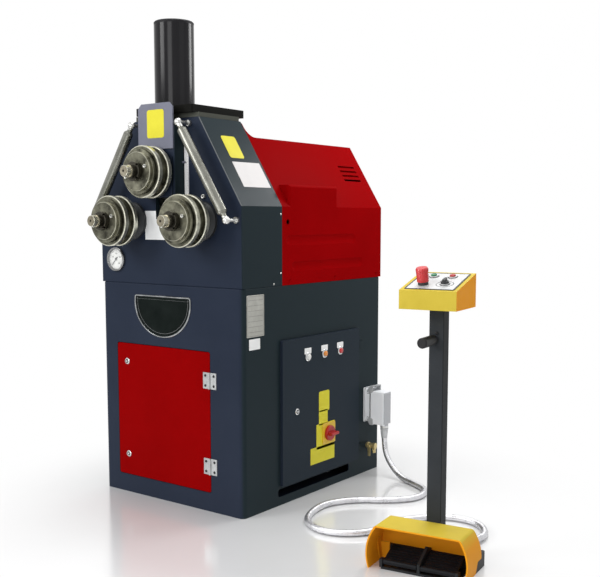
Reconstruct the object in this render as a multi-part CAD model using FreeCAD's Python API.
import FreeCAD, Part
import math
import os

V = FreeCAD.Vector

# A hydraulic three-roll section bender with a free-standing foot and hand control.
# Millimetres. X runs to the right, Y to the back, Z up. The origin is on the floor,
# under the middle of the cabinet. Depths named "..._y" are measured from the front face.

# Cabinet
cabinet_width = 760.0
cabinet_depth = 960.0
cabinet_height = 873.0
cabinet_sheet = 4.0
floor_plate = 8.0
deck_plate = 8.0
front = -cabinet_depth / 2
back = cabinet_depth / 2
side = cabinet_width / 2
cabinet_corner = 22.0
seam_edge = 5.0
slot_length = 500.0
slot_height = 32.0
slot_floor = 34.0

# Head above the cabinet
head_depth = 240.0
crease_rise = 305.0
slope_run = 0.62
head_plate = 20.0
head_skin = 8.0
head_edge = 2.5
crease = cabinet_height + crease_rise

# Rolls and shafts
roll_rise = 250.0
roll_height = cabinet_height + roll_rise
roll_spacing = 374.0
top_roll_rise = 184.0
top_roll_height = roll_height + top_roll_rise
roll_x = roll_spacing / 2
flange_radius = 98.0
groove_radius = 84.0
keeper_radius = 73.0
nut_radius = 36.0
nut_width = 21.0
keeper_width = 11.0
front_ring_width = 32.0
groove_ring_width = 30.0
rear_ring_width = 18.0
shaft_radius = 32.0
seat_radius = 30.0
thread_radius = 26.0
tip_radius = 21.0
tip_length = 24.0
collar_radius = 45.0
roll_back_y = -62.0
ring_fit = 0.05
running_fit = 0.05
cartridge_radius = 55.0
cartridge_flange = 74.0
end_gap = 0.3
slide_gap = 0.3

# Carriage, slide and cylinder
carriage_width = 190.0
carriage_proud = 51.0
carriage_low = 94.0
carriage_high = 173.0
neck_width = 120.0
neck_low = 67.0
neck_high = 153.0
slide_width = 200.0
slide_depth = 100.0
stroke_down = 105.0
stroke_up = 30.0
gib_width = 28.0
cover_width = 184.0
cover_low = 88.0
cover_high = 260.0
cover_chamfer = 18.0
cover_plate = 6.0
cylinder_y = 52.0
barrel_radius = 77.0
barrel_wall = 15.0
barrel_height = 311.0
cap_height = 12.0
packing_height = 30.0
rod_radius = 28.0
piston_height = 40.0
top_plate_width = 300.0
top_plate_front_y = -13.0
top_plate_back_y = 290.0
top_plate_height = 30.0
spacer_height = 18.0
spacer_width = 336.0
slot_land = 22.0
head_top = top_roll_height + neck_high + stroke_up + slot_land
scale_width = 20.0
scale_height = 185.0
scale_plate = 3.0

# Rear hood: collar behind the head, raised box on each slope, swages along each side
hood_drop = 61.0
hood_top = head_top - hood_drop
hood_sheet = 3.0
hood_gap = 0.5
hood_flange = 20.0
collar_rise = 54.0
collar_sweep = 42.0
louvre_front_y = 779.0
louvre_length = 126.0
louvre_height = 8.0
louvre_drop = 99.0
louvre_pitch = 19.5
louvre_count = 4
raised_front_y = 287.0
raised_back_y = 617.0
raised_top = crease + 85.0
raised_radius = 10.0
swage_depth = 4.0
swage_half = 20.0
swages = ((crease - 130.0, 285.0, 735.0), (crease - 233.0, 322.0, 791.0))

# Drive
gear_module = 8.0
gear_teeth = 32
pinion_teeth = 18
gear_width = 40.0
gear_bore = 25.0
gear_y = 262.0
backlash = 0.8
gearbox_half = 95.0
gearbox_depth = 120.0
drive_motor_radius = 70.0
drive_motor_length = 260.0

# Front door and its hinges
door_left = -295.0
door_right = 215.0
door_low = 76.0
door_high = 624.0
door_sheet = 3.0
door_fold = 15.0
door_gap = 2.5
door_corner = 8.0
hinge_height = 63.0
hinge_leaf = 33.0
hinge_plate = 2.5
barrel_pin = 2.5
knuckle_radius = 4.2
lock_x = -240.0
lock_heights = (550.0, 162.0)
lock_radius = 10.0
lock_head = 13.0
cam_plate = 3.0

# Electrical door on the right side
panel_front_y = 226.0
panel_back_y = 770.0
panel_low = 76.0
panel_high = 658.0
panel_depth = 12.0
panel_sheet = 2.0
panel_border = 20.0
panel_lock_y = 320.0
panel_lock_z = 363.0
switch_y = 538.0
switch_z = 238.0
switch_plate = 90.0
switch_radius = 32.0
pilot_z = 577.0
pilot_ys = (392.0, 508.0, 622.0)
pilot_radius = 14.0
backplate_gap = 110.0
backplate_margin = 40.0
pilot_body = 36.0

# Gauge, connector and drain valve
gauge_x = -side + 90.0
gauge_z = cabinet_height + 94.0
gauge_radius = 49.0
connector_y = 826.0
connector_width = 74.0
connector_low = 232.0
connector_height = 153.0
connector_base = 32.0
hood_out = 104.0
valve_y = 860.0
valve_z = 120.0
valve_radius = 14.0

# Guide bars beside the rolls
bar_radius = 19.0
bar_y = -60.0
bar_top_x = 124.0
bar_top_z = head_top - 22.0
bar_low_x = side - 23.0
bar_low_z = roll_height + 3.0
ball_radius = 15.0
stud_radius = 7.0

# Control pedestal, in its own frame: x to its right, y to its back, origin under its post
pedestal_x = 1165.0
pedestal_y = 57.0
pedestal_turn = 7.5
post_width = 50.0
post_wall = 3.0
console_base = 847.0
console_width = 192.0
console_front = 109.0
console_back = 74.0
console_front_height = 61.0
console_back_height = 109.0
console_sheet = 2.0
sole_height = 48.0
sole_half = 155.0
tray_half = 130.0
guard_height = 140.0
guard_wall = 5.0
pedal_width = 116.0
pedal_pivot_y = -146.0
pedal_pivot_z = 24.0
pedal_reach = 86.0
pedal_slope = 22.0
pedal_plate = 8.0
pedal_pin = 4.0
grip_height = console_base - 103.0
grip_length = 105.0
grip_radius = 17.0

# Conduit from the connector to the pedestal, centre line points chosen along its run
conduit_radius = 12.5
outlet_x = side + 88.0
outlet_y = 862.0
gland_height = 12.0
foot_gland_x = 42.0
foot_gland_z = 26.0
foot_gland_length = 36.0
foot_run = 85.0
floor_line = conduit_radius + 0.1
conduit_points = (
    (outlet_x, outlet_y, 146.0),
    (outlet_x + 17.0, 853.0, 89.0),
    (outlet_x + 62.0, 836.0, 42.0),
    (592.0, 811.0, floor_line),
    (668.0, 776.0, floor_line),
    (769.0, 717.0, floor_line),
    (791.0, 600.0, floor_line),
    (715.0, 506.0, floor_line),
    (596.0, 434.0, floor_line),
    (530.0, 320.0, floor_line),
    (550.0, 197.0, floor_line),
    (600.0, 95.0, floor_line),
    (694.0, 43.0, floor_line),
    (794.0, 67.0, floor_line),
    (866.0, 155.0, floor_line),
    (860.0, 290.0, floor_line),
    (926.0, 399.0, floor_line),
    (1014.0, 470.0, floor_line),
    (1114.0, 467.0, floor_line),
    (1187.0, 395.0, floor_line),
    (1209.0, 312.0, 14.0),
)


def block(x0, x1, y0, y1, z0, z1):
    return Part.makeBox(x1 - x0, y1 - y0, z1 - z0, V(x0, y0, z0))


def rod(x, y, z, axis, radius, length):
    return Part.makeCylinder(radius, length, V(x, y, z), V(*axis))


def join(first, *others):
    shape = first.multiFuse(list(others))
    return shape.removeSplitter()


def prism_y(outline, y0, y1):
    wire = Part.makePolygon([V(x, y0, z) for x, z in outline + outline[:1]])
    return Part.Face(wire).extrude(V(0, y1 - y0, 0))


def prism_x(outline, x0, x1):
    wire = Part.makePolygon([V(x0, y, z) for y, z in outline + outline[:1]])
    return Part.Face(wire).extrude(V(x1 - x0, 0, 0))


def turned(profile, origin, axis):
    """A solid of revolution: profile is (radius, distance along the axis) pairs."""
    points = [V(r, 0, h) for r, h in profile]
    wire = Part.makePolygon(points + points[:1])
    shape = Part.Face(wire).revolve(V(0, 0, 0), V(0, 0, 1), 360)
    shape = Part.makeSolid(shape) if shape.ShapeType == "Shell" else shape
    turn = FreeCAD.Rotation(V(0, 0, 1), V(*axis))
    shape.Placement = FreeCAD.Placement(V(*origin), turn)
    return shape


def ring(outer, inner, h0, h1, origin, axis, bevel=0.0):
    profile = [(inner, h0), (outer - bevel, h0), (outer, h0 + bevel),
               (outer, h1 - bevel), (outer - bevel, h1), (inner, h1)]
    if bevel == 0.0:
        profile = [(inner, h0), (outer, h0), (outer, h1), (inner, h1)]
    return turned(profile, origin, axis)


def group(*shapes):
    return Part.makeCompound(list(shapes))


def tube(points, radius):
    """Straight runs joined by tangent arcs. Prints the smallest bend and the length."""
    path = [V(*p) for p in points]
    edges = []
    bends = []
    start = path[0]
    for before, corner, after in zip(path, path[1:], path[2:]):
        inward = (corner - before).normalize()
        outward = (after - corner).normalize()
        half_turn = inward.getAngle(outward) / 2
        reach = 0.45 * min(before.distanceToPoint(corner), corner.distanceToPoint(after))
        bend = reach / math.tan(half_turn)
        bends.append(bend)
        enter = corner - inward * reach
        leave = corner + outward * reach
        middle_way = (outward - inward).normalize()
        centre = corner + middle_way * (bend / math.cos(half_turn))
        middle = centre - middle_way * bend
        edges.append(Part.makeLine(start, enter))
        edges.append(Part.Arc(enter, middle, leave).toShape())
        start = leave
    edges.append(Part.makeLine(start, path[-1]))
    wire = Part.Wire(edges)
    first_way = (path[1] - path[0]).normalize()
    section = Part.Wire([Part.makeCircle(radius, path[0], first_way)])
    shape = wire.makePipeShell([section], True, True)
    expected = math.pi * radius * radius * wire.Length
    print("tube: length %.1f, least bend %.1f, volume ratio %.4f"
          % (wire.Length, min(bends), shape.Volume / expected))
    return shape


def trapezoid(top, inset=0.0):
    """Half-open section shared by the head and the hood: upright sides, then slopes."""
    half = side - inset
    lean = inset * (math.hypot(1.0, slope_run) - 1.0)
    bend = crease - lean / slope_run
    narrow = half - (top - bend) * slope_run
    return [(-half, cabinet_height), (half, cabinet_height), (half, bend),
            (narrow, top), (-narrow, top), (-half, bend)]


def slope_x(z):
    return side - (z - crease) * slope_run


# ---------------------------------------------------------------- cabinet

def door_opening(y0, y1):
    hole = block(door_left - door_gap, door_right + door_gap, y0, y1,
                 door_low - door_gap, door_high + door_gap)
    return round_corners(hole, V(0, 1, 0), door_corner + door_gap)


def round_corners(shape, along, radius):
    """Fillets the four long edges that run along one axis."""
    chosen = []
    for edge in shape.Edges:
        way = (edge.Vertexes[1].Point - edge.Vertexes[0].Point).normalize()
        if abs(way.dot(along)) > 0.99:
            chosen.append(edge)
    return shape.makeFillet(radius, chosen)


def base_cabinet():
    """Folded sheet cabinet with rounded corners, its openings and the slot along its foot."""
    shell = round_corners(block(-side, side, front, back, 0, cabinet_height),
                          V(0, 0, 1), cabinet_corner)
    rim = [edge for edge in shell.Edges if edge.CenterOfMass.z > cabinet_height - 1]
    shell = shell.makeFillet(seam_edge, rim)
    room = block(-side + cabinet_sheet, side - cabinet_sheet, front + cabinet_sheet,
                 back - cabinet_sheet, floor_plate, cabinet_height - deck_plate)
    shell = shell.cut(round_corners(room, V(0, 0, 1), cabinet_corner - cabinet_sheet))
    shell = shell.cut(door_opening(front - 1, front + cabinet_sheet + 1))
    shell = shell.cut(block(side - cabinet_sheet - 1, side + 1,
                            front + panel_front_y + panel_border,
                            front + panel_back_y - panel_border,
                            panel_low + panel_border, panel_high - panel_border))
    slot_front = front + panel_front_y - 14
    slot = block(side - cabinet_sheet - 1, side + 1, slot_front, slot_front + slot_length,
                 slot_floor, slot_floor + slot_height)
    shell = shell.cut(round_corners(slot, V(1, 0, 0), slot_height * 0.3))
    shell = shell.cut(pipe_hole(cabinet_height - deck_plate - 1, deck_plate + 2))
    valve_hole = rod(side - cabinet_sheet - 1, front + valve_y, valve_z, (1, 0, 0),
                     valve_radius * 0.5 + ring_fit, cabinet_sheet + 2)
    return shell.cut(valve_hole)


def fixed_hinge(z):
    """Leaf on the cabinet with the two outer knuckles and the pin."""
    x = door_right
    y = front - hinge_plate - knuckle_radius + hinge_plate * 0.9
    third = hinge_height / 3
    leaf = block(x, x + hinge_leaf, front - hinge_plate, front, z, z + hinge_height)
    parts = [block(x - knuckle_radius - end_gap, x + knuckle_radius + end_gap, front - 20,
                   front + 1, z + third - end_gap, z + 2 * third + end_gap)]
    leaf = leaf.cut(parts[0])
    low = rod(x, y, z, (0, 0, 1), knuckle_radius, third - end_gap)
    high = rod(x, y, z + 2 * third + end_gap, (0, 0, 1), knuckle_radius, third - end_gap)
    pin = rod(x, y, z, (0, 0, 1), barrel_pin, hinge_height)
    return join(leaf, low, high, pin)


def moving_hinge(z):
    """Leaf on the door with the middle knuckle."""
    x = door_right
    y = front - hinge_plate - knuckle_radius + hinge_plate * 0.9
    third = hinge_height / 3
    leaf = block(x - hinge_leaf, x, front - hinge_plate, front, z, z + hinge_height)
    for low in (z - 1, z + 2 * third):
        leaf = leaf.cut(block(x - knuckle_radius - 2 * end_gap, x + 1, front - 20, front + 1,
                              low, low + third + 1))
    knuckle = rod(x, y, z + third, (0, 0, 1), knuckle_radius, third)
    leaf = leaf.cut(block(x - knuckle_radius / 2, x + 1, front - hinge_plate / 2, front + 1,
                          z, z + hinge_height))
    bore = rod(x, y, z, (0, 0, 1), barrel_pin + running_fit, hinge_height)
    return join(leaf, knuckle).cut(bore)


hinge_levels = (door_high - 78.0 - hinge_height, door_low + 71.0)


def panel_pin_axis():
    return side + 6.0, front + panel_back_y + 6.0


def panel_bracket(z):
    """Pintle welded to the cabinet side that carries the electrical door."""
    x, y = panel_pin_axis()
    foot = block(side, side + 5, y + 7, y + 32, z, z + 24)
    arm = block(side + 1.5, side + 5, y, y + 10, z, z + 24)
    barrel = rod(x, y, z, (0, 0, 1), 4.5, 24)
    pin = rod(x, y, z, (0, 0, 1), 2.5, 44)
    return join(foot, arm, barrel, pin)


def hinge_brackets():
    levels = (panel_low + 40, panel_high - 84)
    return group(*[fixed_hinge(z) for z in hinge_levels], *[panel_bracket(z) for z in levels])


# ---------------------------------------------------------------- front door

def front_door():
    door = round_corners(block(door_left, door_right, front, front + door_fold,
                               door_low, door_high), V(0, 1, 0), door_corner)
    hollow = round_corners(block(door_left + door_sheet, door_right - door_sheet,
                                 front + door_sheet, front + door_fold + 1,
                                 door_low + door_sheet, door_high - door_sheet),
                           V(0, 1, 0), door_corner - door_sheet)
    door = door.cut(hollow)
    for z in lock_heights:
        door = door.cut(rod(lock_x, front - 1, z, (0, 1, 0), lock_radius + running_fit, door_sheet + 2))
    return door


def door_hinges():
    return group(*[moving_hinge(z) for z in hinge_levels])


def quarter_lock(reach, origin, axis, cam_way):
    """Round lock with a slot, a body through the sheet and a cam behind it."""
    inward = V(*axis)
    body = turned([(0, -3), (lock_head - 2, -3), (lock_head, -1.2), (lock_head, -end_gap),
                   (lock_radius, -end_gap), (lock_radius, 20), (0, 20)], origin, axis)
    way = V(*cam_way)
    across = inward.cross(way)
    corner = V(*origin) + inward * 17 - across * 7 - way * 9
    points = [corner, corner + across * 14, corner + across * 14 + way * (reach + 9),
              corner + way * (reach + 9), corner]
    cam = Part.Face(Part.makePolygon(points)).extrude(inward * cam_plate)
    slot_corner = V(*origin) - inward * 4 - across * 9 - way * 1.5
    slot_points = [slot_corner, slot_corner + across * 18, slot_corner + across * 18 + way * 3,
                   slot_corner + way * 3, slot_corner]
    slot = Part.Face(Part.makePolygon(slot_points)).extrude(inward * 2.5)
    return join(body, cam).cut(slot)


def door_lock(z):
    return quarter_lock(lock_x - door_left + 11, (lock_x, front, z), (0, 1, 0), (0, 0, -1))


# ---------------------------------------------------------------- electrical door

panel_face = side + end_gap + panel_depth


def electrical_door():
    y0 = front + panel_front_y
    y1 = front + panel_back_y
    door = round_corners(block(side + end_gap, panel_face, y0, y1, panel_low, panel_high),
                         V(1, 0, 0), 5.0)
    door = door.cut(block(side, panel_face - panel_sheet, y0 + panel_sheet, y1 - panel_sheet,
                          panel_low + panel_sheet, panel_high - panel_sheet))
    x, y = panel_pin_axis()
    for z in (panel_low + 40, panel_high - 84):
        knuckle = rod(x, y, z + 24 + end_gap, (0, 0, 1), 4.5, 22)
        web = block(x, x + 4, y1 - 4, y, z + 24 + end_gap, z + 46)
        door = join(door, knuckle, web)
        door = door.cut(rod(x, y, z, (0, 0, 1), 2.5 + running_fit, 60))
    for pilot_y in pilot_ys:
        door = door.cut(rod(side - 1, front + pilot_y, pilot_z, (1, 0, 0),
                            pilot_radius - 3 + ring_fit, 30))
    door = door.cut(rod(side - 1, front + panel_lock_y, panel_lock_z, (1, 0, 0),
                        lock_radius + running_fit, 30))
    return door.cut(rod(side - 1, front + switch_y, switch_z, (1, 0, 0), 5 + running_fit, 30))


def electrical_lock():
    reach = panel_lock_y - panel_front_y - panel_border + 12
    origin = (panel_face, front + panel_lock_y, panel_lock_z)
    return quarter_lock(reach, origin, (-1, 0, 0), (0, 0, -1))


def main_switch_plate():
    y = front + switch_y
    half = switch_plate / 2
    plate = round_corners(block(panel_face, panel_face + 4, y - half, y + half,
                                switch_z - half, switch_z + half), V(1, 0, 0), 6.0)
    return plate.cut(rod(panel_face - 1, y, switch_z, (1, 0, 0), 5 + running_fit, 10))


def main_switch_handle():
    x = panel_face + 4 + end_gap
    y = front + switch_y
    disc = turned([(0, 0), (switch_radius, 0), (switch_radius, 9), (switch_radius - 3, 12), (0, 12)],
                  (x, y, switch_z), (1, 0, 0))
    grip = block(x + 11, x + 34, y - 27, y + 27, switch_z - 6, switch_z + 6)
    grip = grip.makeFillet(4.0, [e for e in grip.Edges if e.CenterOfMass.x > x + 33])
    spindle = rod(side - 30, y, switch_z, (1, 0, 0), 5, x - side + 31)
    return join(disc, grip, spindle)


def pilot_lights():
    lights = []
    for pilot_y in pilot_ys:
        profile = [(0, -pilot_body), (pilot_radius - 3, -pilot_body), (pilot_radius - 3, 0), (pilot_radius, 0),
                   (pilot_radius, 3.5), (pilot_radius - 3, 4.5), (pilot_radius - 4, 9),
                   (pilot_radius - 8, 11.5), (0, 12.5)]
        lights.append(turned(profile, (panel_face, front + pilot_y, pilot_z), (1, 0, 0)))
    return group(*lights)


def electrical_backplate():
    """Mounting plate behind the door on four stand-offs, with its rails and devices."""
    x = side - backplate_gap
    y0 = front + panel_front_y + backplate_margin
    y1 = front + panel_back_y - backplate_margin
    z0 = panel_low + backplate_margin
    z1 = panel_high - backplate_margin
    plate = block(x - 3, x, y0, y1, z0, z1)
    rails = [block(x, x + 8, y0 + 20, y1 - 20, z, z + 35) for z in (z0 + 90, z0 + 290)]
    devices = []
    for index in range(5):
        y = y0 + 40 + index * 78
        devices.append(block(x + 8, x + 74, y, y + 54, z0 + 75, z0 + 150))
        devices.append(block(x + 8, x + 62, y, y + 45, z0 + 275, z0 + 360))
    feet = [block(x - 60, x - 3, y, y + 20, floor_plate, z0 + 60) for y in (y0, y1 - 20)]
    return group(join(plate, *rails, *feet), *devices)


# ---------------------------------------------------------------- head, slide and cylinder

def pipe_hole(z, height):
    return rod(pipe_x, front + pipe_y, z, (0, 0, 1), pipe_radius + 2, height)


pipe_x = -60.0
pipe_y = 185.0
pipe_radius = 8.0


def head_housing():
    """Thick front and rear plates with welded skins; the carriage slot is in the front one."""
    outer = prism_y(trapezoid(head_top), front, front + head_depth)
    face_rim = [edge for edge in outer.Edges if edge.CenterOfMass.y < front + 1]
    outer = outer.makeChamfer(head_edge, face_rim)
    inner_top = head_top - head_skin
    inner = prism_y(trapezoid(inner_top, head_skin), front + head_plate,
                    front + head_depth - head_plate)
    head = outer.cut(inner)
    head = head.cut(block(-neck_width / 2 - slide_gap, neck_width / 2 + slide_gap,
                          front - 1, front + head_plate + 1,
                          top_roll_height - neck_low - stroke_down - 4,
                          top_roll_height + neck_high + stroke_up + 4))
    for x in (-roll_x, roll_x):
        head = head.cut(rod(x, front - 1, roll_height, (0, 1, 0), cartridge_radius + ring_fit,
                           head_depth + 2))
    head = head.cut(rod(gauge_x, front - 1, gauge_z, (0, 1, 0), gauge_radius - 5 + ring_fit,
                        head_plate + 2))
    head = head.cut(rod(0, front + cylinder_y, inner_top - 1, (0, 0, 1), rod_radius + 2, head_skin + 2))
    return head.cut(pipe_hole(inner_top - 1, head_skin + 2))


plate_base = head_top + spacer_height
plate_top = plate_base + top_plate_height


def top_plate():
    """Heavy black plate under the cylinder, on a lighter spacer plate."""
    half = top_plate_width / 2
    spacer = block(-spacer_width / 2, spacer_width / 2, front + 6, front + head_depth - 4,
                   head_top, plate_base)
    plate = block(-half, half, front + top_plate_front_y, front + top_plate_back_y,
                  plate_base, plate_top)
    plate = round_corners(plate, V(0, 0, 1), 6.0)
    plate = plate.makeFillet(2.0, [e for e in plate.Edges if e.CenterOfMass.z > plate_top - 1])
    hole = rod(0, front + cylinder_y, head_top - 1, (0, 0, 1), rod_radius + 2, 100)
    return group(spacer.cut(hole).cut(pipe_hole(head_top - 1, spacer_height + 2)), plate.cut(hole))


def cylinder_barrel():
    return ring(barrel_radius, barrel_radius - barrel_wall, 0, barrel_height,
                (0, front + cylinder_y, plate_top), (0, 0, 1))


def cylinder_heads():
    """Lower gland inside the barrel and the turned cap on top of it."""
    origin = (0, front + cylinder_y, plate_top)
    inner = barrel_radius - barrel_wall - ring_fit
    gland = ring(inner, rod_radius + running_fit, 0, packing_height, origin, (0, 0, 1))
    top = barrel_height
    cap = turned([(0, top - 16), (inner, top - 16), (inner, top), (barrel_radius, top),
                  (barrel_radius, top + cap_height - 4), (barrel_radius - 4, top + cap_height),
                  (0, top + cap_height)], origin, (0, 0, 1))
    return group(gland, cap)


def piston_rod():
    origin = (0, front + cylinder_y, top_roll_height + neck_high)
    foot = plate_top - origin[2]
    piston = foot + packing_height + stroke_down + 5
    bore = barrel_radius - barrel_wall - running_fit
    return turned([(0, 0), (rod_radius, 0), (rod_radius, piston), (bore, piston),
                   (bore, piston + piston_height), (0, piston + piston_height)], origin, (0, 0, 1))


def carriage():
    """Block in front of the face, neck through the slot and slide behind the plate."""
    z = top_roll_height
    half = carriage_width / 2
    nose = block(-half, half, front - carriage_proud, front - slide_gap,
                 z - carriage_low, z + carriage_high)
    nose = nose.makeChamfer(2.0, [e for e in nose.Edges if e.CenterOfMass.y < front - carriage_proud + 1])
    neck = block(-neck_width / 2, neck_width / 2, front - 1, front + head_plate + 1,
                 z - neck_low, z + neck_high)
    slide = block(-slide_width / 2, slide_width / 2, front + head_plate + slide_gap,
                  front + head_plate + slide_gap + slide_depth, z - neck_low, z + neck_high)
    bore = rod(0, front - carriage_proud - 1, z, (0, 1, 0), shaft_radius + running_fit, 200)
    body = join(nose, neck, slide).cut(bore)
    for x in (-half + 12, half - 12):
        body = body.cut(block(x - 3, x + 3, front - carriage_proud - 1, front - carriage_proud + 4,
                              z - carriage_low - 1, z + cover_low - 30))
    return body


def carriage_cover():
    """Plate on the carriage nose with its top corners cut, and the pointer beside it."""
    z = top_roll_height
    half = cover_width / 2
    low = z + cover_low
    high = z + cover_high
    outline = [(-half, low), (half, low), (half, high - cover_chamfer),
               (half - cover_chamfer, high), (-half + cover_chamfer, high), (-half, high - cover_chamfer)]
    y = front - carriage_proud
    plate = prism_y(outline, y - cover_plate, y)
    pointer_x = carriage_width / 2
    pointer = prism_y([(pointer_x, z + 34), (pointer_x + 10, z + 34), (pointer_x + 20, z + 38),
                       (pointer_x + 10, z + 42), (pointer_x, z + 42)], front - 12, front - 7)
    return group(plate, pointer)


def slide_gibs():
    """The two guide bars bolted behind the front plate, one on each side of the slide."""
    bars = []
    y0 = front + head_plate
    y1 = y0 + slide_depth + slide_gap + 12
    z0 = top_roll_height - neck_low - stroke_down - 20
    z1 = head_top - head_skin - 6
    for way in (-1, 1):
        near = slide_width / 2 + slide_gap
        far = near + gib_width
        bar = block(min(way * near, way * far), max(way * near, way * far), y0, y1, z0, z1)
        keep = block(min(way * (near - 30), way * near), max(way * (near - 30), way * near),
                     y0 + slide_depth + 2 * slide_gap, y1, z0, z1)
        bars.append(join(bar, keep))
    return group(*bars)


def position_scale():
    x = carriage_width / 2 + 4
    z = top_roll_height - 85
    return block(x, x + scale_width, front - scale_plate, front, z, z + scale_height)


# ---------------------------------------------------------------- rolls and shafts

def shaft(x, z, back_y, tail):
    """A roll shaft: centre-drilled tip, thread, ring seat, collar, journal and tail."""
    keeper_front = roll_back_y - ring_stack
    seat_front = keeper_front + keeper_width
    tip = keeper_front - nut_width - 18 - tip_length
    front_collar = roll_back_y
    profile = [(0, tip + 6), (4, tip), (tip_radius - 3, tip), (tip_radius, tip + 3),
               (tip_radius, tip + tip_length), (thread_radius - 2, tip + tip_length),
               (thread_radius, tip + tip_length + 2), (thread_radius, seat_front),
               (seat_radius, seat_front), (seat_radius, front_collar),
               (collar_radius, front_collar), (collar_radius, back_y),
               (shaft_radius, back_y)] + tail
    return turned(profile, (x, front, z), (0, 1, 0))


ring_stack = keeper_width + front_ring_width + groove_ring_width + rear_ring_width + 8.0
flange_face_y = -28.0


def lower_shaft(x):
    journal_end = head_depth + 18
    tail_end = gear_y + gear_width + 8
    return shaft(x, roll_height, flange_face_y - end_gap,
                 [(shaft_radius, journal_end), (gear_bore, journal_end), (gear_bore, tail_end), (0, tail_end)])


def top_shaft():
    back_y = -carriage_proud - end_gap
    rear = head_plate + 2 * slide_gap + slide_depth
    return shaft(0, top_roll_height, back_y,
                 [(shaft_radius, rear), (collar_radius - 3, rear), (collar_radius - 3, rear + 18),
                  (0, rear + 18)])


def roll_set(x, z):
    """Keeper disc, flanged front ring, groove ring, flanged rear ring and slotted nut."""
    origin = (x, front, z)
    inner = seat_radius + ring_fit
    axis = (0, 1, 0)
    back_edge = roll_back_y
    rear_front = back_edge - 8 - rear_ring_width
    rear = turned([(inner, rear_front), (flange_radius - 3, rear_front), (flange_radius, rear_front + 3),
                   (flange_radius, back_edge - 8), (seat_radius * 2, back_edge - 8),
                   (seat_radius * 2, back_edge), (inner, back_edge)], origin, axis)
    groove_front = rear_front - groove_ring_width
    groove = ring(groove_radius, inner, groove_front, rear_front, origin, axis)
    front_edge = groove_front - front_ring_width
    step = flange_radius - groove_radius
    front_ring = turned([(inner, front_edge), (groove_radius, front_edge), (groove_radius, front_edge + 8),
                         (groove_radius - 6, front_edge + 8), (groove_radius - 6, front_edge + step),
                         (flange_radius - 3, front_edge + step), (flange_radius, front_edge + step + 3),
                         (flange_radius, groove_front), (inner, groove_front)], origin, axis)
    keeper_front = front_edge - keeper_width
    keeper = ring(keeper_radius, thread_radius + ring_fit, keeper_front, front_edge, origin, axis, 2.0)
    keeper = keeper.cut(ring(seat_radius + ring_fit, 1, front_edge - 0.5, front_edge + 1, origin, axis))
    for turn_deg in (20, 200):
        reach = (nut_radius + keeper_radius) / 2
        hx = x + reach * math.cos(math.radians(turn_deg))
        hz = z + reach * math.sin(math.radians(turn_deg))
        keeper = keeper.cut(rod(hx, front + keeper_front - 1, hz, axis, 6.0, 7.0))
    nut = ring(nut_radius, thread_radius + ring_fit, keeper_front - nut_width, keeper_front, origin, axis, 2.0)
    for turn_deg in range(45, 405, 90):
        notch = block(-4, 4, front + keeper_front - nut_width - 1, front + keeper_front - nut_width + 9,
                      nut_radius - 5, nut_radius + 1)
        notch.rotate(V(0, 0, 0), V(0, 1, 0), turn_deg)
        notch.translate(V(x, 0, z))
        nut = nut.cut(notch)
    return group(rear, groove, front_ring, keeper, nut)


def bearing_housings():
    """Flanged bearing cartridges of the two lower shafts, front and rear."""
    parts = []
    inner = shaft_radius + running_fit
    for x in (-roll_x, roll_x):
        origin = (x, front, roll_height)
        body = cartridge_radius
        rim = cartridge_flange
        parts.append(turned([(inner, flange_face_y), (rim - 14, flange_face_y), (rim - 8, flange_face_y + 6),
                             (rim, -12), (rim, 0), (body, 0), (body, head_plate + 20),
                             (inner, head_plate + 20)], origin, (0, 1, 0)))
        rear = head_depth
        parts.append(turned([(inner, rear - head_plate - 15), (body, rear - head_plate - 15), (body, rear),
                             (rim - 4, rear), (rim - 4, rear + 12), (inner, rear + 12)], origin, (0, 1, 0)))
    return group(*parts)


# ---------------------------------------------------------------- drive

def involute(angle):
    return math.tan(angle) - angle


def toothed_outline(teeth, first_tooth):
    """Involute spur gear outline at 20 degrees, first_tooth is the angle of one tooth."""
    pitch = gear_module * teeth / 2
    base = pitch * math.cos(math.radians(20))
    root = pitch - 1.25 * gear_module
    tip = pitch + gear_module
    foot = max(base, root)
    half_pitch = math.pi / (2 * teeth) - backlash / (4 * pitch)
    steps = [foot + (tip - foot) * k / 3 for k in range(4)]
    flank = []
    for radius in steps:
        pressure = math.acos(min(1.0, base / radius))
        flank.append((radius, half_pitch + involute(math.radians(20)) - involute(pressure)))
    outline = []
    for tooth in range(teeth):
        middle = first_tooth + 2 * math.pi * tooth / teeth
        outline.append((root, middle - flank[0][1] - 0.012))
        outline += [(radius, middle - turn) for radius, turn in flank]
        outline += [(radius, middle + turn) for radius, turn in reversed(flank)]
        outline.append((root, middle + flank[0][1] + 0.012))
    return [(radius * math.cos(turn), radius * math.sin(turn)) for radius, turn in outline]


def spur_gear(x, z, teeth, first_tooth):
    outline = [(x + px, z + pz) for px, pz in toothed_outline(teeth, first_tooth)]
    return prism_y(outline, front + gear_y, front + gear_y + gear_width)


centre_distance = gear_module * (gear_teeth + pinion_teeth) / 2
pinion_drop = math.sqrt(centre_distance ** 2 - roll_x ** 2)
pinion_z = roll_height - pinion_drop
mesh_angle = math.atan2(pinion_drop, roll_x)
pinion_tooth = math.pi - mesh_angle + math.pi / pinion_teeth


def left_gear_angle():
    return -mesh_angle


def right_gear_angle():
    """Tooth position that meets the pinion, whose spaces do not fall on the centre line."""
    spacing = 2 * math.pi / pinion_teeth
    space = pinion_tooth + spacing / 2
    offset = (space - mesh_angle + spacing / 2) % spacing - spacing / 2
    return mesh_angle + math.pi - offset * pinion_teeth / gear_teeth


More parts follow.
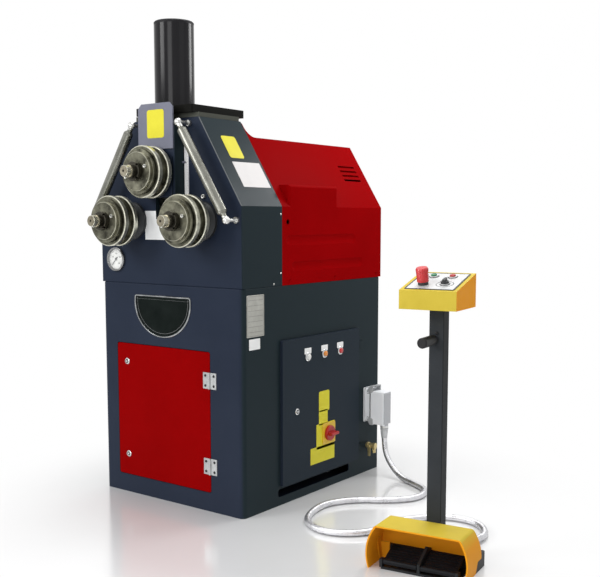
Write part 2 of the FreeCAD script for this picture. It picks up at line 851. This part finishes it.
def drive_gear(x, first_tooth):
    gear = spur_gear(x, roll_height, gear_teeth, first_tooth)
    hub = rod(x, front + gear_y - 4, roll_height, (0, 1, 0), gear_bore + 15, gear_width + 8)
    gear = join(gear, hub)
    for turn_deg in range(0, 360, 60):
        turn = math.radians(turn_deg)
        gear = gear.cut(rod(x + 78 * math.cos(turn), front, roll_height + 78 * math.sin(turn),
                            (0, 1, 0), 18, 400))
    return gear.cut(rod(x, front, roll_height, (0, 1, 0), gear_bore + ring_fit, 400))


def pinion():
    gear = spur_gear(0, pinion_z, pinion_teeth, pinion_tooth)
    return join(gear, rod(0, front + gear_y - 8, pinion_z, (0, 1, 0), gear_bore, gear_width + 58))


gearbox_y = gear_y + gear_width + 12


def gear_motor():
    """Reduction gearbox on its foot, with the ribbed motor behind it."""
    half = gearbox_half
    y0 = front + gearbox_y
    box = block(-half, half, y0, y0 + gearbox_depth, pinion_z - half, pinion_z + half)
    box = round_corners(box, V(0, 1, 0), 14.0)
    foot = block(-half - 15, half + 15, y0 + 10, y0 + gearbox_depth - 10,
                 cabinet_height, pinion_z - half + 5)
    bore = rod(0, y0 - 1, pinion_z, (0, 1, 0), gear_bore + running_fit, gearbox_depth / 2 + 2)
    start = gearbox_y + gearbox_depth - 1
    finish = start + drive_motor_length
    barrel = drive_motor_radius
    fins = [(0, start), (barrel, start)]
    for index in range(8):
        y = start + 12 + index * 22
        fins += [(barrel, y), (barrel + 14, y), (barrel + 14, y + 9), (barrel, y + 9)]
    fins += [(barrel, finish - 60), (barrel + 18, finish - 60), (barrel + 18, finish - 10),
             (barrel + 8, finish), (0, finish)]
    motor = turned(fins, (0, front, pinion_z), (0, 1, 0))
    return group(join(box, foot).cut(bore), motor.cut(box))


# ---------------------------------------------------------------- rear hood

def louvre(index, way):
    z = hood_top - louvre_drop - index * louvre_pitch
    x = way * slope_x(z)
    y0 = front + louvre_front_y
    return block(x - 40, x + 40, y0, y0 + louvre_length, z, z + louvre_height)


def hood_side_view(y0, ridge, inset, end):
    """Side view of the hood, swept across it: collar, quarter-round sweep, then a flat top."""
    hub_y = front + head_depth + hood_gap + hood_sheet + collar_sweep
    hub_z = hood_top + collar_sweep
    radius = collar_sweep + inset
    bend = radius * math.sqrt(0.5)
    start = V(-side, hub_y - radius, hub_z)
    finish = V(-side, hub_y, hub_z - radius)
    sweep = Part.Arc(start, V(-side, hub_y - bend, hub_z - bend), finish).toShape()
    rest = [finish, V(-side, end, hub_z - radius), V(-side, end, cabinet_height),
            V(-side, y0, cabinet_height), V(-side, y0, ridge), V(-side, hub_y - radius, ridge), start]
    edges = [Part.makeLine(a, b) for a, b in zip(rest, rest[1:]) if a.distanceToPoint(b) > 0.001]
    return Part.Face(Part.Wire([sweep] + edges)).extrude(V(2 * side, 0, 0))


def raised_box(way, inset):
    """Box with a rounded outer end that stands out of the slope, flush with the side."""
    box = block(side / 2, side - inset, front + raised_front_y + inset, front + raised_back_y - inset,
                crease - 20, raised_top - inset)
    outer_end = [e for e in box.Edges if e.CenterOfMass.x > side - inset - 1
                 and e.CenterOfMass.z > crease - 19]
    box = box.makeFillet(raised_radius - inset, outer_end)
    return box if way > 0 else box.mirror(V(0, 0, 0), V(1, 0, 0))


def swage(way, inset, z, start_y, end_y):
    """Shallow round-ended groove pressed into the upright side of the hood."""
    radius = (swage_half ** 2 + swage_depth ** 2) / (2 * swage_depth)
    x = way * (side - inset + radius - swage_depth)
    run = rod(x, front + start_y, z, (0, 1, 0), radius, end_y - start_y)
    ends = [Part.makeSphere(radius, V(x, front + y, z)) for y in (start_y, end_y)]
    return join(run, *ends)


def rear_hood():
    """Sheet cover over the drive, standing on a flange turned in along its foot."""
    y0 = front + head_depth + hood_gap
    ridge = hood_top + collar_rise
    outer = prism_y(trapezoid(ridge), y0, back).common(hood_side_view(y0, ridge, 0.0, back))
    inner = prism_y(trapezoid(ridge, hood_sheet), y0 - 1, back - hood_sheet)
    inner = inner.common(hood_side_view(y0 - 1, hood_top + collar_sweep, hood_sheet, back - hood_sheet))
    for way in (-1, 1):
        outer = outer.fuse(raised_box(way, 0.0))
        inner = inner.fuse(raised_box(way, hood_sheet))
        for z, start_y, end_y in swages:
            outer = outer.cut(swage(way, 0.0, z, start_y, end_y))
            inner = inner.cut(swage(way, hood_sheet, z, start_y, end_y))
    hood = outer.cut(inner)
    flange = block(-side + 1, side - 1, y0, back - 1, cabinet_height, cabinet_height + hood_sheet)
    opening = block(-side + hood_flange, side - hood_flange, y0 - 1, back - hood_flange,
                    cabinet_height - 1, cabinet_height + hood_sheet + 1)
    hood = join(hood, flange.cut(opening))
    for index in range(louvre_count):
        for way in (-1, 1):
            hood = hood.cut(louvre(index, way))
    for way in (-1, 1):
        start = side - 20 if way > 0 else -side - 20
        hood = hood.cut(rod(start, front + head_depth + 37, crease - 59, (1, 0, 0), 10, 40))
    return hood


# ---------------------------------------------------------------- hydraulics

tank_top = 400.0
tank_x = -150.0
tank_width = 360.0
tank_depth = 380.0
tank_wall = 4.0
tank_front_y = 520.0
pump_radius = 80.0
pump_height = 272.0
manifold_width = 90.0
manifold_height = 70.0


def hydraulic_tank():
    half = tank_width / 2
    y0 = front + tank_front_y
    wall = tank_wall
    outer = block(tank_x - half, tank_x + half, y0, y0 + tank_depth, floor_plate, tank_top)
    inner = block(tank_x - half + wall, tank_x + half - wall, y0 + wall, y0 + tank_depth - wall,
                  floor_plate + wall, tank_top - 2 * wall)
    filler = rod(tank_x + half - 50, y0 + tank_depth - 60, tank_top, (0, 0, 1), 28, 34)
    return join(outer.cut(inner), filler)


def pump_motor():
    origin = (tank_x - 70, front + tank_front_y + 120, tank_top)
    radius = pump_radius
    profile = [(0, 0), (radius + 20, 0), (radius + 20, 14), (radius, 14)]
    for index in range(7):
        z = 30 + index * 24
        profile += [(radius, z), (radius + 10, z), (radius + 10, z + 9), (radius, z + 9)]
    profile += [(radius, pump_height - 57), (radius + 12, pump_height - 57),
                (radius + 12, pump_height - 10), (radius + 4, pump_height), (0, pump_height)]
    return turned(profile, origin, (0, 0, 1))


def valve_block():
    """Manifold with two solenoids, and the steel pipe that runs up to the cylinder."""
    y = front + tank_front_y + 60
    x = pipe_x
    top = tank_top + manifold_height
    body = block(x - manifold_width / 2, x + manifold_width / 2, y, y + 100, tank_top, top)
    coils = [rod(x - 20, y + 50, top, (0, 0, 1), 17, 60), rod(x + 25, y + 50, top, (0, 0, 1), 17, 60)]
    turn_z = cabinet_height - 215
    run = [(x, y + 15, top), (x, y + 15, turn_z),
           (x, front + pipe_y, turn_z), (x, front + pipe_y, plate_base)]
    return group(join(body, *coils), tube(run, pipe_radius))


# ---------------------------------------------------------------- gauge and fittings

def gauge_case():
    can = gauge_radius - 5
    case = turned([(0, -3), (gauge_radius - 6, -3), (gauge_radius - 6, -12), (gauge_radius - 2, -12),
                   (gauge_radius, -9), (gauge_radius, 0), (can, 0), (can, 34), (0, 34)],
                  (gauge_x, front, gauge_z), (0, 1, 0))
    return join(case, rod(gauge_x, front - 8, gauge_z, (0, 1, 0), 1.5, 6))


def gauge_needle():
    hub = rod(gauge_x, front - 7, gauge_z, (0, 1, 0), 5, 2)
    blade = prism_y([(-2.2, -12), (2.2, -12), (0.8, 36), (-0.8, 36)], front - 6.5, front - 5.5)
    blade.rotate(V(0, 0, 0), V(0, 1, 0), -135)
    blade.translate(V(gauge_x, 0, gauge_z))
    return join(hub, blade).cut(rod(gauge_x, front - 10, gauge_z, (0, 1, 0), 1.5 + running_fit, 10))


connector_back_y = connector_y + connector_width
connector_high = connector_low + connector_height
connector_split = side + connector_base
hood_outlet_z = connector_low - 12


def connector_base_part():
    """Wall socket: flange with chamfered rim and pegs for the two levers."""
    flange = block(side, side + 6, front + connector_y, front + connector_back_y,
                   connector_low, connector_high)
    flange = round_corners(flange, V(1, 0, 0), 5.0)
    body = block(side + 5, connector_split, front + connector_y + 6, front + connector_back_y - 6,
                 connector_low + 4, connector_high - 4)
    body = round_corners(body, V(1, 0, 0), 6.0)
    pegs = [rod(connector_split - 9, front + connector_y, z, (0, 1, 0), 3, connector_width)
            for z in lever_pivots()]
    return join(flange, body, *pegs)


def lever_pivots():
    return connector_high - 19, connector_low + 19


def connector_hood():
    """Cast plug hood with a sloping shoulder, rounded edges and its bottom outlet."""
    y0 = front + connector_y + 6
    y1 = front + connector_back_y - 6
    z0 = hood_outlet_z + 6
    z1 = connector_high - 14
    hood = block(connector_split + end_gap, side + hood_out, y0, y1, z0, z1)
    chosen = [e for e in hood.Edges if e.CenterOfMass.x > side + hood_out - 1]
    hood = hood.makeFillet(9.0, chosen)
    outlet = rod(outlet_x, front + outlet_y, hood_outlet_z, (0, 0, 1), 17, 12)
    return join(hood, outlet)


def lever(pivot_z, way):
    """Locking lever: two cheeks on the pegs and a thumb bar across them."""
    x = connector_split - 9
    cheeks = []
    low_y = front + connector_y + 6
    high_y = front + connector_back_y - 6
    outline = [(x - 6, pivot_z - way * 6), (x + 8, pivot_z - way * 6), (x + 24, pivot_z + way * 4),
               (x + 24, pivot_z + way * 29), (x + 8, pivot_z + way * 29), (x - 6, pivot_z + way * 8)]
    for y in (low_y - 2.8, high_y + end_gap):
        cheek = prism_y(outline, y, y + 2.5)
        cheeks.append(cheek.cut(rod(x, y - 1, pivot_z, (0, 1, 0), 3 + running_fit, 6)))
    z0 = min(pivot_z + way * 26, pivot_z + way * 29)
    bar = block(x + 8, x + 24, low_y - 2.8, high_y + 2.8, z0, z0 + 3)
    return join(bar, *cheeks)


def conduit_glands():
    """Gland under the connector hood and the one in the back of the pedestal's foot."""
    profile = [(0, 0), (15, 0), (18, 3)]
    top = (outlet_x, front + outlet_y, hood_outlet_z - gland_height)
    upper = turned(profile + [(18, gland_height), (0, gland_height)], top, (0, 0, 1))
    end = (foot_gland_x, sole_back + foot_gland_length, foot_gland_z)
    lower = turned(profile + [(18, foot_gland_length), (0, foot_gland_length)], end, (0, -1, 0))
    return group(upper, stand(lower))


def drain_valve():
    """Brass ball valve on the side, with its outlet elbow turned down."""
    x = side
    y = front + valve_y
    body = turned([(0, -12), (valve_radius * 0.5, -12), (valve_radius * 0.5, 0), (valve_radius, 0),
                   (valve_radius, 9), (valve_radius - 4, 11), (valve_radius - 2, 15), (valve_radius - 2, 30),
                   (valve_radius, 33), (valve_radius, 44), (0, 44)], (x, y, valve_z), (1, 0, 0))
    outlet = rod(x + 36, y, valve_z - 30, (0, 0, 1), 8, 30)
    stem = rod(x + 22, y - 26, valve_z, (0, 1, 0), 4, 26)
    return join(body, outlet, stem)


def drain_lever():
    x = side + 22
    y = front + valve_y - 20
    arm = prism_y([(-7, 6), (7, 6), (7, -16), (5, -44), (-5, -44), (-7, -16)], y, y + 3)
    arm.translate(V(x, 0, valve_z))
    return arm.cut(rod(x, y - 1, valve_z, (0, 1, 0), 4 + running_fit, 6))


def guide_bar(way):
    """Inclined round bar with necked rod ends and a ball stud at each end."""
    top = V(way * bar_top_x, front + bar_y, bar_top_z)
    low = V(way * bar_low_x, front + bar_y, bar_low_z)
    length = top.distanceToPoint(low)
    run = low - top
    neck = bar_radius * 0.55
    bar = turned([(0, 4), (neck, 4), (neck, 26), (bar_radius - 4, 30), (bar_radius, 36),
                  (bar_radius, length - 36), (bar_radius - 4, length - 30), (neck, length - 26),
                  (neck, length - 4), (0, length - 4)], (top.x, top.y, top.z), (run.x, run.y, run.z))
    ends = [Part.makeSphere(ball_radius, point) for point in (top, low)]
    return join(bar, *ends)


def guide_stud(x, z):
    """Stud that holds the bar off the face, with its locknut."""
    post = turned([(0, bar_y + ball_radius - 1), (stud_radius, bar_y + ball_radius - 1),
                   (stud_radius, -10), (12, -10), (12, 0), (0, 0)], (x, front, z), (0, 1, 0))
    return post.cut(Part.makeSphere(ball_radius, V(x, front + bar_y, z)))


def guide_bars():
    parts = []
    for way in (-1, 1):
        parts.append(guide_bar(way))
        parts.append(guide_stud(way * bar_top_x, bar_top_z))
        parts.append(guide_stud(way * bar_low_x, bar_low_z))
    return group(*parts)


# ---------------------------------------------------------------- control pedestal

def stand(shape):
    """Puts a shape made in the pedestal's own frame where the pedestal stands."""
    moved = shape.copy()
    moved.rotate(V(0, 0, 0), V(0, 0, 1), pedestal_turn)
    moved.translate(V(pedestal_x, front + pedestal_y, 0))
    return moved


sole_back = 48.0
sole_front = -50.0
guard_back = -post_width / 2 - 3.0
guard_front = -153.0
guard_foot_front = -165.0
guard_shift = -8.0
guard_foot_half = 164.0
guard_bulge_half = 174.0
guard_bulge_height = 66.0
guard_top_half = 146.0


def pedestal_base():
    """Cast sole: low tray under the pedals, high block behind, pivot lugs and pivot pin."""
    block_part = block(-sole_half, sole_half, sole_front, sole_back, 0, sole_height)
    block_part = round_corners(block_part, V(0, 0, 1), 10.0)
    tray = block(-tray_half, tray_half, guard_foot_front + 12, sole_front + 1, 0, 8)
    lugs = [block(x - 5, x + 5, pedal_pivot_y - 11, pedal_pivot_y + 11, 7, pedal_pivot_z + 10)
            for x in (-tray_half + 1, tray_half - 1)]
    divider = prism_x([(guard_foot_front + 12, 7), (sole_front + 1, 7), (sole_front + 1, 62),
                       (sole_front - 30, 74), (guard_foot_front + 12, 36)], -5, 5)
    sole = join(block_part, tray, divider, *lugs)
    bore = rod(-tray_half - 10, pedal_pivot_y, pedal_pivot_z, (1, 0, 0), pedal_pin, 2 * tray_half + 20)
    pin = rod(-tray_half - 4, pedal_pivot_y, pedal_pivot_z, (1, 0, 0), pedal_pin, 2 * tray_half + 8)
    return stand(group(sole.cut(bore), pin))


def pedal(way):
    """Ribbed foot plate on a hub around the pivot pin, raised towards the back."""
    inner = 5 + 2.5
    x0 = inner if way > 0 else -inner - pedal_width
    x1 = x0 + pedal_width
    plate = block(x0, x1, 0, pedal_reach, -pedal_plate / 2, pedal_plate / 2)
    ribs = [block(x0 + 8, x1 - 8, y, y + 3, pedal_plate / 2 - 0.5, pedal_plate / 2 + 2)
            for y in range(16, int(pedal_reach) - 4, 12)]
    foot = join(plate, *ribs)
    foot.rotate(V(0, 0, 0), V(1, 0, 0), pedal_slope)
    foot.translate(V(0, pedal_pivot_y, pedal_pivot_z))
    hub = rod(x0, pedal_pivot_y, pedal_pivot_z, (1, 0, 0), 9, pedal_width)
    bore = rod(x0 - 1, pedal_pivot_y, pedal_pivot_z, (1, 0, 0), pedal_pin + running_fit, pedal_width + 2)
    return stand(join(foot, hub).cut(bore))


def guard_body(wall, reach):
    """Lofted body with bulging sides, thinner by one wall and longer to the front by reach."""
    wires = []
    for z, half, y in ((0, guard_foot_half, guard_foot_front),
                       (guard_bulge_height, guard_bulge_half, (guard_foot_front + guard_front) / 2),
                       (guard_height - wall, guard_top_half, guard_front)):
        left = guard_shift - half + wall
        right = guard_shift + half - wall
        corners = [V(left, y - reach, z), V(right, y - reach, z),
                   V(right, guard_back - wall, z), V(left, guard_back - wall, z)]
        wires.append(Part.makePolygon(corners + corners[:1]))
    return Part.makeLoft(wires, True, False)


def pedal_guard():
    """Cast hood over the pedals: bulging sides, rounded top edges, open to the front."""
    outer = guard_body(0.0, 0.0)
    top_edges = [e for e in outer.Edges if e.CenterOfMass.z > guard_height - 1
                 and abs(e.CenterOfMass.x - guard_shift) > guard_top_half * 0.9]
    outer = outer.makeFillet(14.0, top_edges)
    inner = guard_body(guard_wall, 40.0)
    heel = block(-200, 200, sole_front - 26, 50, -5, sole_height)
    return stand(outer.cut(inner).cut(heel))


def pedestal_post():
    half = post_width / 2
    tube_part = round_corners(block(-half, half, -half, half, sole_height, console_base), V(0, 0, 1), 3.0)
    bore = block(-half + post_wall, half - post_wall, -half + post_wall, half - post_wall,
                 sole_height + 6, console_base - 6)
    return stand(tube_part.cut(bore))


def hand_grip():
    """Rubber-covered handle that stands out of the post, with its clamp screw above it."""
    y = -post_width / 2
    x = -8.0
    profile = [(0, 0), (grip_radius - 3, 0), (grip_radius - 3, 8), (grip_radius, 10),
               (grip_radius, grip_length - 4), (grip_radius - 4, grip_length), (0, grip_length)]
    handle = turned(profile, (x, y, grip_height), (0, -1, 0))
    screw = turned([(0, 0), (5, 0), (5, 4), (3, 5), (0, 5)], (x + 10, y, grip_height + 22), (0, -1, 0))
    return stand(group(handle, screw))


console_slope = math.degrees(math.atan2(console_back_height - console_front_height,
                                        console_front + console_back))


def console_outline(inset):
    low = console_base + inset
    lean = inset / math.cos(math.radians(console_slope))
    front_top = console_base + console_front_height - lean
    back_top = console_base + console_back_height - lean
    return [(-console_front + inset, low), (console_back - inset, low),
            (console_back - inset, back_top - inset * math.tan(math.radians(console_slope))),
            (-console_front + inset, front_top + inset * math.tan(math.radians(console_slope)))]


def console_box():
    half = console_width / 2
    box = prism_x(console_outline(0), -half, half)
    box = box.cut(prism_x(console_outline(console_sheet), -half + console_sheet, half - console_sheet))
    for x, along, radius in control_places:
        box = box.cut(on_panel(rod(0, 0, -20, (0, 0, 1), radius + 0.5, 40), x, along))
    return stand(box)


def on_panel(shape, x, along):
    """Seats a shape on the console's sloping top: along is the distance from its front edge."""
    placed = shape.copy()
    placed.rotate(V(0, 0, 0), V(1, 0, 0), console_slope)
    slope = math.radians(console_slope)
    placed.translate(V(x, -console_front + along * math.cos(slope),
                       console_base + console_front_height + along * math.sin(slope)))
    return placed


estop_place = (-36.0, 58.0)
start_place = (-30.0, 140.0)
stop_place = (34.0, 140.0)
selector_place = (34.0, 66.0)
estop_bore = 9.0
button_bore = 10.0
control_places = (estop_place + (estop_bore,), start_place + (button_bore,),
                  stop_place + (button_bore,), selector_place + (button_bore,))
panel_plate = 1.5
panel_length = 160.0
panel_width = 160.0


def collar(outer, bore, height):
    return ring(outer, bore + running_fit, panel_plate, height, (0, 0, 0), (0, 0, 1), 0.8)


def console_panel():
    """Legend plate on the slope, with the collars of its four controls."""
    centre = panel_length / 2 + 14
    plate = on_panel(round_corners(block(-panel_width / 2, panel_width / 2, -panel_length / 2,
                                         panel_length / 2, 0, panel_plate), V(0, 0, 1), 3.0), 0, centre)
    for x, along, radius in control_places:
        plate = plate.cut(on_panel(rod(0, 0, -20, (0, 0, 1), radius + 0.5, 40), x, along))
    collars = [on_panel(collar(16.5, estop_bore, 20.0), *estop_place)]
    for place in (start_place, stop_place, selector_place):
        collars.append(on_panel(collar(14.5, button_bore, 5.0), *place))
    return stand(group(plate, *collars))


def estop_button():
    """Tall red mushroom whose skirt covers the collar, on its stem."""
    cap = turned([(0, -24), (estop_bore, -24), (estop_bore, 26), (17.2, 26), (17.2, 12), (19, 12),
                  (19.6, 40), (20.5, 52), (17.5, 57), (0, 58)], (0, 0, 0), (0, 0, 1))
    return stand(on_panel(cap, *estop_place))


def push_button(place):
    cap = turned([(0, -16), (button_bore, -16), (button_bore, 8), (button_bore - 1.5, 9.5), (0, 9.5)],
                 (0, 0, 0), (0, 0, 1))
    return stand(on_panel(cap, *place))


def selector_knob():
    stem = rod(0, 0, -16, (0, 0, 1), button_bore, 16 + 5 + end_gap)
    disc = turned([(0, 5 + end_gap), (13.5, 5 + end_gap), (13.5, 11), (12, 12.5), (0, 12.5)],
                  (0, 0, 0), (0, 0, 1))
    grip = block(-4, 4, -12.5, 14, 12, 20)
    return stand(on_panel(join(stem, disc, grip), *selector_place))


def stand_point(x, y, z):
    turn = math.radians(pedestal_turn)
    return (pedestal_x + x * math.cos(turn) - y * math.sin(turn),
            front + pedestal_y + x * math.sin(turn) + y * math.cos(turn), z)


def conduit():
    outlet = [(outlet_x, front + outlet_y, hood_outlet_z - gland_height)]
    route = [(x, front + y, z) for x, y, z in conduit_points]
    far = sole_back + foot_gland_length
    ends = [stand_point(foot_gland_x, far + foot_run, foot_gland_z),
            stand_point(foot_gland_x, far, foot_gland_z)]
    return tube(outlet + route + ends, conduit_radius)


nodes = {
    "base_cabinet": base_cabinet,
    "hinge_brackets": hinge_brackets,
    "front_door": front_door,
    "door_hinges": door_hinges,
    "door_lock_upper": lambda: door_lock(lock_heights[0]),
    "door_lock_lower": lambda: door_lock(lock_heights[1]),
    "electrical_door": electrical_door,
    "electrical_lock": electrical_lock,
    "main_switch_plate": main_switch_plate,
    "main_switch_handle": main_switch_handle,
    "pilot_lights": pilot_lights,
    "electrical_backplate": electrical_backplate,
    "head_housing": head_housing,
    "top_plate": top_plate,
    "cylinder_barrel": cylinder_barrel,
    "cylinder_heads": cylinder_heads,
    "piston_rod": piston_rod,
    "carriage": carriage,
    "carriage_cover": carriage_cover,
    "slide_gibs": slide_gibs,
    "position_scale": position_scale,
    "bearing_housings": bearing_housings,
    "top_shaft": top_shaft,
    "top_roll": lambda: roll_set(0, top_roll_height),
    "left_shaft": lambda: lower_shaft(-roll_x),
    "left_roll": lambda: roll_set(-roll_x, roll_height),
    "left_gear": lambda: drive_gear(-roll_x, left_gear_angle()),
    "right_shaft": lambda: lower_shaft(roll_x),
    "right_roll": lambda: roll_set(roll_x, roll_height),
    "right_gear": lambda: drive_gear(roll_x, right_gear_angle()),
    "drive_pinion": pinion,
    "gear_motor": gear_motor,
    "rear_hood": rear_hood,
    "hydraulic_tank": hydraulic_tank,
    "pump_motor": pump_motor,
    "valve_block": valve_block,
    "gauge_case": gauge_case,
    "gauge_needle": gauge_needle,
    "connector_base": connector_base_part,
    "connector_hood": connector_hood,
    "connector_lever_upper": lambda: lever(lever_pivots()[0], 1),
    "connector_lever_lower": lambda: lever(lever_pivots()[1], -1),
    "conduit_glands": conduit_glands,
    "drain_valve": drain_valve,
    "drain_lever": drain_lever,
    "guide_bars": guide_bars,
    "pedestal_base": pedestal_base,
    "pedal_left": lambda: pedal(-1),
    "pedal_right": lambda: pedal(1),
    "pedal_guard": pedal_guard,
    "pedestal_post": pedestal_post,
    "hand_grip": hand_grip,
    "console_box": console_box,
    "console_panel": console_panel,
    "estop_button": estop_button,
    "start_button": lambda: push_button(start_place),
    "stop_button": lambda: push_button(stop_place),
    "selector_knob": selector_knob,
    "conduit": conduit,
}

os.makedirs("parts", exist_ok=True)
for name, make in nodes.items():
    shape = make()
    if not shape.isValid():
        print("invalid shape:", name)
    shape.exportStep("parts/" + name + ".step")
    print(name, len(shape.Solids), round(shape.Volume / 1000.0, 1))
